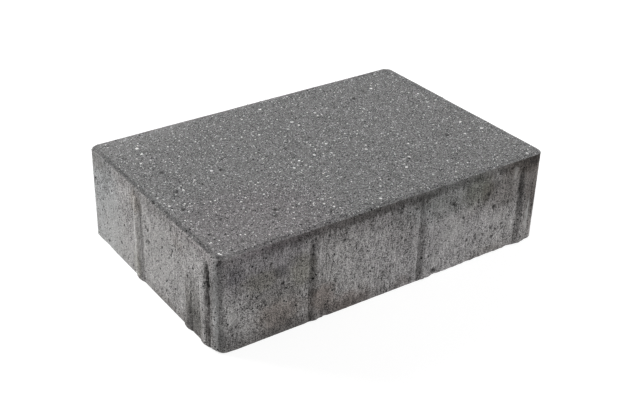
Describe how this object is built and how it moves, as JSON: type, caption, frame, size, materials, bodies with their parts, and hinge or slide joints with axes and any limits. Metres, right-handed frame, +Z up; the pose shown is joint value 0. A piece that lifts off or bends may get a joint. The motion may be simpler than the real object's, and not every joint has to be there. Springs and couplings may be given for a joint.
{
  "type": "concrete paving stone",
  "caption": "Rectangular cast concrete paving stone with a fine bevelled top, rounded corners and low spacer ribs on its sides.",
  "frame": {"origin": "middle of the underside, between the outermost faces of the spacer ribs", "axes": "+Z up out of the wearing face, +X along the long side, +Y along the short side"},
  "size_m": [0.3, 0.201, 0.079],
  "materials": {
    "cast_concrete": "matte cast concrete: a dark fine-grained wearing face with pale quartz specks, paler ram-streaked sides with small pores"
  },
  "bodies": {
    "root": {"paving_stone": "cast_concrete"}
  },
  "joints": []
}
